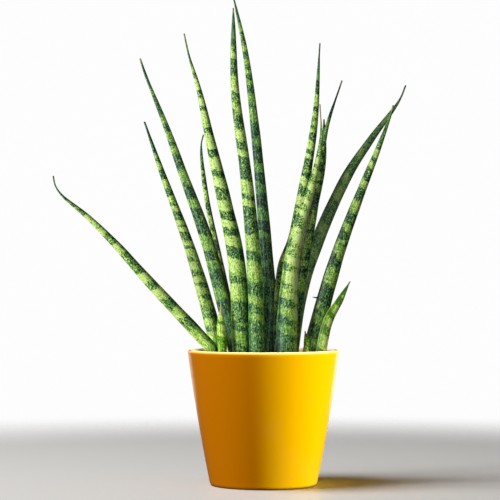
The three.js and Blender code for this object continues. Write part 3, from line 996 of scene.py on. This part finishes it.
@dataclass
class Pot:
    """The round pot, as a fine turned surface. Lengths are in millimetres.

    Attributes:
        height: overall height.
        rim_radius: outside radius at the top.
        base_radius: the outside wall's line, carried down to the ground.
        bulge: how far the wall swells past a straight cone, as a share of its flare.
        wall: thickness of the wall.
        floor: thickness of the floor.
        edge_round: radius of the lower edge.
        corner_round: radius of the corner inside.
        inner_blend: how far inwards from the lip's middle the paler inside colour comes in.
        sides: points round the pot.
        steps: steps over the lower edge, the outside wall, the lip, the inside wall and the corner.
    """

    height: float = 120.0
    rim_radius: float = 67.5
    base_radius: float = 47.3
    bulge: float = 0.21
    wall: float = 4.6
    floor: float = 6.0
    edge_round: float = 3.5
    corner_round: float = 8.0
    inner_blend: float = 1.5
    sides: int = 192
    steps: tuple[int, int, int, int, int] = (8, 40, 14, 20, 6)

    def outer_radius(self, z: Array | float) -> Array | float:
        """Gives the outside wall's radius, a parabola over the height.

        Args:
            z: heights.

        Returns:
            Radii.
        """
        t = z / self.height
        flare = (1 + self.bulge) * t - self.bulge * t * t
        return self.base_radius + (self.rim_radius - self.base_radius) * flare

    def corner(self) -> tuple[float, float]:
        """Gives the centre of the inside corner's arc, as radius and height."""
        height = self.floor + self.corner_round
        return self.outer_radius(height) - self.wall - self.corner_round, height

    def arc(self, centre: tuple[float, float], reach: float, quarters: tuple[float, float],
            steps: int) -> Array:
        """Draws an arc in the profile's plane.

        Args:
            centre: its centre, as radius and height.
            reach: the arc's own radius.
            quarters: where it starts and ends, in quarter turns from the outward direction.
            steps: how many steps it takes.

        Returns:
            Points as radius and height, one row each.
        """
        angle = np.linspace(*quarters, steps + 1) * math.pi / 2
        return np.array(centre) + reach * np.stack([np.cos(angle), np.sin(angle)], 1)

    def wall_line(self, offset: float, low: float, high: float, steps: int) -> Array:
        """Follows the outside wall, moved inwards by an offset, between two heights."""
        z = np.linspace(low, high, steps + 1)[1:-1]
        return np.stack([self.outer_radius(z) - offset, z], 1)

    def build(self) -> bpy.types.Object:
        """Turns the profile round the axis.

        The profile runs from the underside's centre round the lower edge, up the outside wall,
        over the lip, down the inside wall and across the floor. A point at radius r and angle a is
        (r cos a, r sin a, z).

        Returns:
            The piece.
        """
        edge_steps, outside_steps, lip_steps, inside_steps, corner_steps = self.steps
        lip_round = self.wall / 2
        lip_height = self.height - lip_round
        lip_radius = self.outer_radius(lip_height) - lip_round
        edge_radius = self.outer_radius(self.edge_round) - self.edge_round
        corner_radius, corner_height = self.corner()
        profile = np.vstack([
            [[edge_radius * 0.5, 0.0]],
            self.arc((edge_radius, self.edge_round), self.edge_round, (-1, 0), edge_steps),
            self.wall_line(0, self.edge_round, lip_height, outside_steps),
            self.arc((lip_radius, lip_height), lip_round, (0, 2), lip_steps),
            self.wall_line(self.wall, lip_height, corner_height, inside_steps),
            self.arc((corner_radius, corner_height), self.corner_round, (0, -1), corner_steps),
            [[corner_radius * 0.5, self.floor]],
        ])
        angle = around(self.sides)
        radius, z = profile[:, :1], profile[:, 1:]
        rings = np.stack([radius * np.cos(angle), radius * np.sin(angle), z + 0 * angle], -1)
        piece = closed_rings("pot_glazed", rings, np.zeros(3), np.array([0, 0, self.floor]))
        lip_middle = self.outer_radius(self.height) - lip_round
        beyond_lip = np.maximum.accumulate(profile[:, 1] >= self.height - 0.01)
        inside = np.where(beyond_lip, smooth_step(0, self.inner_blend, lip_middle - profile[:, 0]), 0.0)
        add_attribute(piece, "inside", np.append(np.repeat(inside, self.sides), [0.0, 1.0]))
        return piece


# ---- Soil ------------------------------------------------------------------------------------


@dataclass(frozen=True)
class PottingMix:
    """Moist potting mix of milled peat and composted bark, or one of the grains in it.

    The eye sees a near-black brown, matt and crumbly, with warmer fibres and pale specks.

    Attributes:
        name: the material's name.
        dark: its darker colour, the wet peat's as a rule.
        warm: its lighter colour, that of bark and fibres as a rule.
        crumb_mm: size of the crumbs.
        relief_mm: height of the crumbs.
    """

    name: str
    dark: str = "#261B13"
    warm: str = "#5F4632"
    crumb_mm: float = 2.5
    relief_mm: float = 0.5

    def material(self) -> bpy.types.Material:
        """Builds the mix from one noise, which gives its colour and its relief.

        Returns:
            The material.
        """
        material, node = new_material(self.name)
        place = node("TexCoord").outputs["Object"]
        crumb = node("TexNoise", {"Vector": place, "Scale": 1 / (self.crumb_mm * MM), "Detail": 5.0})
        mixed = node("MapRange", {"Value": crumb, "From Min": 0.35, "From Max": 0.7})
        colour = node("Mix", {0: mixed, 6: linear(self.dark), 7: linear(self.warm)}, data_type="RGBA")
        relief = node("Bump", {"Height": crumb, "Strength": 0.7, "Distance": self.relief_mm * MM})
        cover(node, {"Base Color": colour.outputs[2], "Normal": relief, "Roughness": 0.95})
        return material


@dataclass
class Soil:
    """The soil's surface and its loose grains. Lengths are in millimetres.

    Attributes:
        pot: the pot that it fills.
        level: mean height of the surface.
        mound: how much higher it lies at the middle than at the wall.
        lump: height of its lumps.
        waves: spacing of the lumps' waves along X, along Y and across both.
        crumb: height of the crumbs on the surface.
        gap: clearance to the pot.
        margin: clear strip along the wall, on which no grain starts.
        sides: points round the soil.
        rings: rings of points over its surface.
        steps: steps round the lower corner and up the wall.
        grain_rings: rings of points on a grain.
        grain_sides: points round a grain.
        seed: seed of the random draws.
    """

    pot: Pot
    level: float = 109.0
    mound: float = 2.5
    lump: float = 1.1
    waves: Triple = (5.1, 4.3, 3.1)
    crumb: float = 0.35
    gap: float = 0.3
    margin: float = 2.5
    sides: int = 160
    rings: int = 70
    steps: tuple[int, int] = (4, 8)
    grain_rings: int = 5
    grain_sides: int = 8
    seed: int = 11

    def height(self, x: Array | float, y: Array | float) -> Array | float:
        """Gives the surface's height: a low mound, plus crossed waves and a diagonal one.

        Args:
            x: places along X.
            y: places along Y.

        Returns:
            Heights.
        """
        wall_radius = self.pot.outer_radius(self.level) - self.pot.wall
        across_x, across_y, across_both = self.waves
        mound = self.mound * (0.5 - (x * x + y * y) / wall_radius**2)
        lumps = np.sin(x / across_x) * np.cos(y / across_y) + 0.6 * np.sin((x + y) / across_both)
        return self.level + mound + self.lump * lumps

    def build(self) -> bpy.types.Object:
        """Makes the soil as rings up the wall and then inwards over its surface.

        The surface is the height, plus crumbs: a product of two sines over x and y, each bent by
        a sine over the other.

        Returns:
            The piece.
        """
        pot = self.pot
        corner = pot.corner()
        corner_steps, wall_steps = self.steps
        wall_top = self.level - self.mound
        profile = np.vstack([
            pot.arc(corner, pot.corner_round - self.gap, (-1, 0), corner_steps),
            pot.wall_line(pot.wall + self.gap, corner[1], wall_top, wall_steps),
        ])
        top_radius = pot.outer_radius(wall_top) - pot.wall - self.gap
        angle = around(self.sides)
        inwards = top_radius * (1 - np.arange(self.rings) / self.rings)[:, None]
        radius = np.vstack([profile[:, :1], inwards])
        x, y = radius * np.cos(angle), radius * np.sin(angle)
        crumbs = np.sin(x * 2.1 + 1.3 * np.sin(y * 1.7)) * np.sin(y * 2.3 + 1.1 * np.sin(x * 1.9))
        z = self.height(x, y) + self.crumb * crumbs
        z[:len(profile)] = profile[:, 1:]
        bottom = np.array([0, 0, pot.floor + self.gap])
        top = np.array([0, 0, self.height(0.0, 0.0)])
        return closed_rings("soil_surface", np.stack([x, y, z], -1), bottom, top)

    def grains(self, name: str, count: int, size: tuple[float, float], flat: float) -> bpy.types.Object:
        """Scatters loose grains over the surface, as dented balls in one mesh.

        Each grain is a ball of rings, stretched by its own three sizes, dented by a wave over its
        surface, turned about the vertical and sunk by a third into the soil.

        Args:
            name: the piece's name.
            count: how many grains.
            size: smallest and largest radius.
            flat: height of a grain as a share of its width.

        Returns:
            The piece.
        """
        draw = np.random.default_rng(self.seed + count)
        pitch = np.linspace(-1, 1, self.grain_rings + 2)[1:-1, None] * math.pi / 2
        turn = around(self.grain_sides)
        ball = np.stack([np.cos(pitch) * np.cos(turn), np.cos(pitch) * np.sin(turn),
                         np.sin(pitch) + 0 * turn], -1)
        ball = np.vstack([ball.reshape(-1, 3), [0, 0, -1], [0, 0, 1]])

        reachable = self.pot.outer_radius(self.level) - self.pot.wall - self.margin
        radius = np.sqrt(draw.uniform(0, 1, count)) * reachable
        angle = draw.uniform(0, 2 * math.pi, count)
        x, y = radius * np.cos(angle), radius * np.sin(angle)
        reach = draw.uniform(*size, (count, 1, 1)) * draw.uniform(0.6, 1.3, (count, 1, 3)) * [1, 1, flat]
        wave = draw.normal(size=(count, 3, 1))
        dent = 1 + 0.25 * np.sin(3 * ball @ wave + draw.uniform(0, 6, (count, 1, 1)))
        spin = draw.uniform(0, 2 * math.pi, (count, 1))
        cosine, sine = np.cos(spin), np.sin(spin)
        across, deep, up = np.moveaxis(ball * dent * reach, -1, 0)
        turned = np.stack([across * cosine - deep * sine, across * sine + deep * cosine, up], -1)
        place = np.stack([x, y, self.height(x, y) + reach[:, 0, 2] / 3], -1)[:, None]
        steps = (np.arange(count) * len(ball))[:, None, None]
        faces = tuple((block + steps).reshape(-1, block.shape[1])
                      for block in ring_faces(self.grain_rings, self.grain_sides))
        return mesh_object(name, turned + place, faces)


# ---- Studio ----------------------------------------------------------------------------------


@dataclass(frozen=True)
class Softbox:
    """A square area light. Lengths are in metres.

    Attributes:
        name: the light's name.
        place: where it stands.
        aim: the point that it faces.
        size: length of its side.
        watts: its power.
        lit: the pieces that it falls on.
        glossy: False if it leaves no highlight.
        tint: colour of the light.
    """

    name: str
    place: Triple
    aim: Triple
    size: float
    watts: float
    lit: Lit
    glossy: bool = True
    tint: Triple = (1.0, 1.0, 1.0)

    def build(self) -> None:
        """Hangs the light and turns it to its aim."""
        data = bpy.data.lights.new(self.name, "AREA")
        data.color = self.tint
        data.size = self.size
        data.energy = self.watts
        light = bpy.data.objects.new(self.name, data)
        light.location = self.place
        away = np.subtract(self.place, self.aim)
        flat = math.hypot(away[0], away[1])
        light.rotation_euler = (math.atan2(flat, away[2]), 0, math.atan2(away[0], -away[1]))
        light.light_linking.receiver_collection = self.lit.group()
        light.visible_glossy = self.glossy
        bpy.context.scene.collection.objects.link(light)


@dataclass
class Studio:
    """A pale floor that fades into a white surround, soft lights, and the camera.

    Lengths are in metres.

    Attributes:
        camera_distance: from the pot's axis.
        camera_height: above the floor.
        focal_px: focal length in pixels of the frame.
        axis_column: column of the frame on which the pot's axis stands.
        horizon_row: row of the frame at the camera's own height.
        frame_px: width of the frame.
        floor_radius: radius of the floor.
        floor_sides: points round the floor.
        fade: where the floor begins to fade out, and where it is gone, from the pot's axis.
        lights: the lights.
    """

    camera_distance: float = 1.8
    camera_height: float = 0.189
    focal_px: float = 2025.0
    axis_column: float = 263.5
    horizon_row: float = 272.0
    frame_px: float = 500.0
    floor_radius: float = 1.0
    floor_sides: int = 96
    fade: tuple[float, float] = (0.45, 0.9)
    lights: tuple[Softbox, ...] = (
        Softbox("key", (-1.6, -1.1, 0.2), (-0.02, 0, 0.25), 0.5, 48.0, Lit.FOLIAGE),
        Softbox("front_fill", (0.2, -1.8, 0.25), (0.0, 0, 0.22), 0.4, 8.0, Lit.FOLIAGE),
        Softbox("pot_side", (1.3, -0.26, 0.3), (0.0, 0, 0.06), 0.3, 33.0, Lit.POT, False, (0.85, 1.0, 0.85)),
        Softbox("pot_fill", (-1.5, -0.4, 0.5), (0.0, 0, 0.06), 0.5, 12.3, Lit.POT, False, (1.0, 0.62, 0.3)),
        Softbox("pot_front", (0.0, -1.5, 0.4), (0.0, 0, 0.06), 0.5, 4.8, Lit.POT, False, (1.0, 0.62, 0.3)),
        Softbox("pot_edge_left", (-0.6, 1.3, 0.1), (0.0, 0, 0.06), 0.4, 1.0, Lit.POT, tint=(1.0, 0.85, 0.6)),
        Softbox("pot_edge_right", (0.6, 1.3, 0.1), (0.0, 0, 0.06), 0.4, 1.2, Lit.POT),
        Softbox("pot_lip", (0.0, -0.2, 1.4), (0.0, 0, 0.12), 0.4, 30.0, Lit.POT, False),
        Softbox("back", (-1.3, 1.2, 0.5), (0.0, 0, 0.2), 0.8, 7.0, Lit.FOLIAGE),
        Softbox("overhead", (-0.9, -0.3, 1.8), (0.0, 0, 0.0), 1.0, 50.0, Lit.FLOOR),
    )

    def camera(self) -> None:
        """Sets the camera level, and shifts its frame to where the pot's axis and the horizon lie."""
        data = bpy.data.cameras.new("camera")
        data.sensor_width = 36.0
        data.lens = self.focal_px / self.frame_px * data.sensor_width
        half = self.frame_px / 2
        data.shift_x = (half - self.axis_column) / self.frame_px
        data.shift_y = (self.horizon_row - half) / self.frame_px
        data.clip_end = 100.0
        camera = bpy.data.objects.new("camera", data)
        camera.location = (0, -self.camera_distance, self.camera_height)
        camera.rotation_euler = (math.pi / 2, 0, 0)
        bpy.context.scene.collection.objects.link(camera)
        bpy.context.scene.camera = camera

    def floor(self) -> None:
        """Lays a round, matt floor whose edge fades out."""
        turn = around(self.floor_sides)
        edge = np.stack([np.cos(turn), np.sin(turn), 0 * turn], -1) * self.floor_radius / MM
        floor = mesh_object("studio_floor", edge, (np.arange(self.floor_sides)[None],), smooth=False)
        material, node = new_material("matt_pale_floor")
        place = node("TexCoord").outputs["Object"]
        distance = node("VectorMath", {0: place}, operation="LENGTH").outputs["Value"]
        near, far = self.fade
        shown = node("MapRange", {
            "Value": distance, "From Min": near, "From Max": far, "To Min": 1.0, "To Max": 0.0},
            interpolation_type="SMOOTHSTEP")
        cover(node, {"Base Color": linear("#D9D7D4"), "Roughness": 0.45, "Alpha": shown})
        floor.data.materials.append(material)
        Lit.FLOOR.group().objects.link(floor)
        floor.visible_diffuse = False
        floor.visible_glossy = False

    def surround(self) -> None:
        """Makes the surround white to look at, and as a light bright behind and dim in front."""
        world = bpy.data.worlds.new("surround")
        bpy.context.scene.world = world
        world.use_nodes = True
        world.node_tree.nodes.clear()
        node = partial(add_node, world.node_tree)
        direction = node("TexCoord").outputs["Object"]
        depth = node("SeparateXYZ", {0: direction}).outputs["Y"]
        glow = node("MapRange", {
            "Value": depth, "From Min": -0.2, "From Max": 0.9, "To Min": 0.03, "To Max": 0.05})
        seen = node("LightPath").outputs["Is Camera Ray"]
        strength = node("Mix", {0: seen, 2: glow, 3: 0.985})
        background = node("Background", {"Color": linear("#FFFFFF"), "Strength": strength})
        node("OutputWorld", {"Surface": background})

    def build(self) -> None:
        """Sets up the camera, the floor, the surround and the lights."""
        bpy.context.scene.view_settings.view_transform = "Standard"
        self.camera()
        self.floor()
        self.surround()
        for light in self.lights:
            light.build()


# ---- Assembly --------------------------------------------------------------------------------


def main() -> None:
    """Builds the studio, the pot, the soil and the leaves."""
    logging.basicConfig(level=logging.INFO, format="%(message)s")
    Studio().build()

    pot = Pot()
    finish_piece(pot.build(), SatinGlaze().material(pot.height), "pot", Lit.POT)

    soil = Soil(pot)
    peat = PottingMix("milled_peat").material()
    finish_piece(soil.build(), peat, "soil", Lit.FOLIAGE)
    for name, count, size, flat, grain in (
        ("soil_crumbs", 900, (0.7, 2.0), 0.8, PottingMix("soil_crumbs_grain")),
        ("soil_bark", 90, (2.0, 4.5), 0.35, PottingMix("soil_bark_grain", "#2A1A10", "#6B4A2E")),
        ("soil_perlite", 70, (0.8, 1.8), 0.85, PottingMix("soil_perlite_grain", "#CFCBC0", "#F2F0EA")),
    ):
        grains = soil.grains(name, count, size, flat)
        finish_piece(grains, grain.material(), None, Lit.FOLIAGE)

    skins = {age: skin.material() for age, skin in SKINS.items()}
    for number, form in enumerate(LEAVES):
        leaf = Leaf(form, number).build()
        finish_piece(leaf, skins[form.age], form.node, Lit.FOLIAGE)

    finish_piece(Spur().build(), DryTissue().material(), None, Lit.FOLIAGE)


if __name__ == "__main__":
    main()
